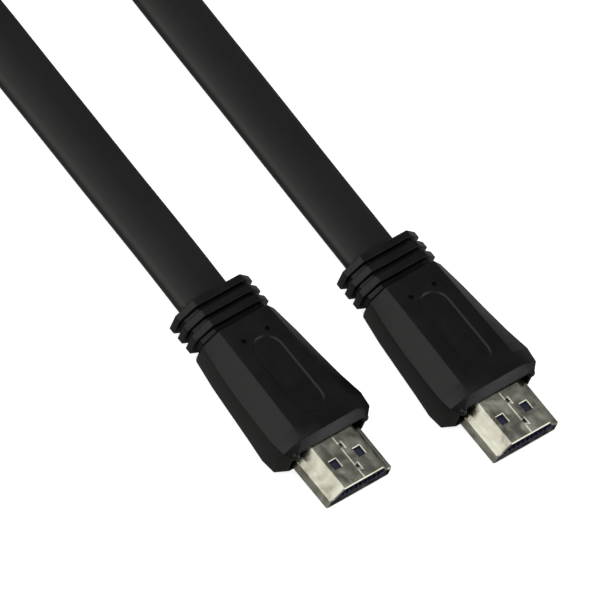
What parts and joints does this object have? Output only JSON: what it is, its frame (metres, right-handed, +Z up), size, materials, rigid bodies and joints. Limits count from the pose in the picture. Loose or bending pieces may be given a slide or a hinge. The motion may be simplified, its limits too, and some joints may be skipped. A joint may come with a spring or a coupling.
{
  "type": "flat audio video cable",
  "caption": "Flat black cable for digital video with a moulded plug on each end, metal shells, ribbed strain reliefs and the spare length wound into a tied hank.",
  "frame": {"origin": "on the table, at the middle of the two plugs", "axes": "+X along both plugs towards their mating ends, +Y across from plug A to plug B, +Z up from the table"},
  "size_m": [0.2722, 0.0957, 0.0151],
  "materials": {
    "overmold": "satin black moulded plastic with fine grain",
    "shell": "nickel-plated steel sheet",
    "insulator": "dark navy plastic",
    "contact": "gold-plated",
    "cable": "soft satin black jacket",
    "tie": "matt black strap"
  },
  "bodies": {
    "root": {"plug_a_overmold": "overmold", "plug_a_shell": "shell", "plug_a_insulator": "insulator", "plug_a_contact_01": "contact", "plug_a_contact_02": "contact", "plug_a_contact_03": "contact", "plug_a_contact_04": "contact", "plug_a_contact_05": "contact", "plug_a_contact_06": "contact", "plug_a_contact_07": "contact", "plug_a_contact_08": "contact", "plug_a_contact_09": "contact", "plug_a_contact_10": "contact", "plug_a_contact_11": "contact", "plug_a_contact_12": "contact", "plug_a_contact_13": "contact", "plug_a_contact_14": "contact", "plug_a_contact_15": "contact", "plug_a_contact_16": "contact", "plug_a_contact_17": "contact", "plug_a_contact_18": "contact", "plug_a_contact_19": "contact", "plug_b_overmold": "overmold", "plug_b_shell": "shell", "plug_b_insulator": "insulator", "plug_b_contact_01": "contact", "plug_b_contact_02": "contact", "plug_b_contact_03": "contact", "plug_b_contact_04": "contact", "plug_b_contact_05": "contact", "plug_b_contact_06": "contact", "plug_b_contact_07": "contact", "plug_b_contact_08": "contact", "plug_b_contact_09": "contact", "plug_b_contact_10": "contact", "plug_b_contact_11": "contact", "plug_b_contact_12": "contact", "plug_b_contact_13": "contact", "plug_b_contact_14": "contact", "plug_b_contact_15": "contact", "plug_b_contact_16": "contact", "plug_b_contact_17": "contact", "plug_b_contact_18": "contact", "plug_b_contact_19": "contact", "cable_run_a": "cable", "cable_run_b": "cable", "cable_hank": "cable", "hank_tie": "tie"}
  },
  "joints": []
}
